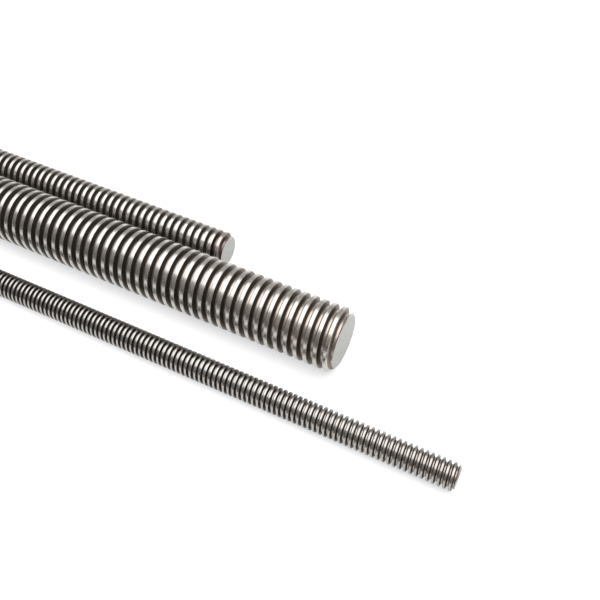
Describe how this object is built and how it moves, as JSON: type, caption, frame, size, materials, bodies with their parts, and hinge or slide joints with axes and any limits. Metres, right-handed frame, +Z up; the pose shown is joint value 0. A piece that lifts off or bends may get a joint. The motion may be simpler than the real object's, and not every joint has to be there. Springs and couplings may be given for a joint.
{
  "type": "lead screw set",
  "caption": "Set of bare steel lead screws in graded sizes, trapezoidal ACME thread rolled over the full length, chamfered ends, lying side by side and free to turn.",
  "frame": {"origin": "centre of the set's footprint, on the surface the screws lie on", "axes": "+X along all the screws, towards the stepped right ends; +Z up; -Y is the side of the small screw"},
  "size_m": [0.456, 0.0846, 0.0318],
  "materials": {
    "large_screw": "rolled, bright crests",
    "medium_screw": "rolled, bright crests",
    "small_screw": "rolled, slightly browned"
  },
  "bodies": {
    "large_screw": {"large_screw": "large_screw"},
    "medium_screw": {"medium_screw": "medium_screw"},
    "small_screw": {"small_screw": "small_screw"}
  },
  "joints": [
    {"name": "medium_screw_spin", "type": "hinge", "parent": "large_screw", "child": "medium_screw", "pos_m": [-0.07565, 0.03281, 0.00953], "axis": [1, 0, 0], "continuous": true},
    {"name": "small_screw_spin", "type": "hinge", "parent": "large_screw", "child": "small_screw", "pos_m": [0.07565, -0.03599, 0.00635], "axis": [1, 0, 0], "continuous": true}
  ]
}
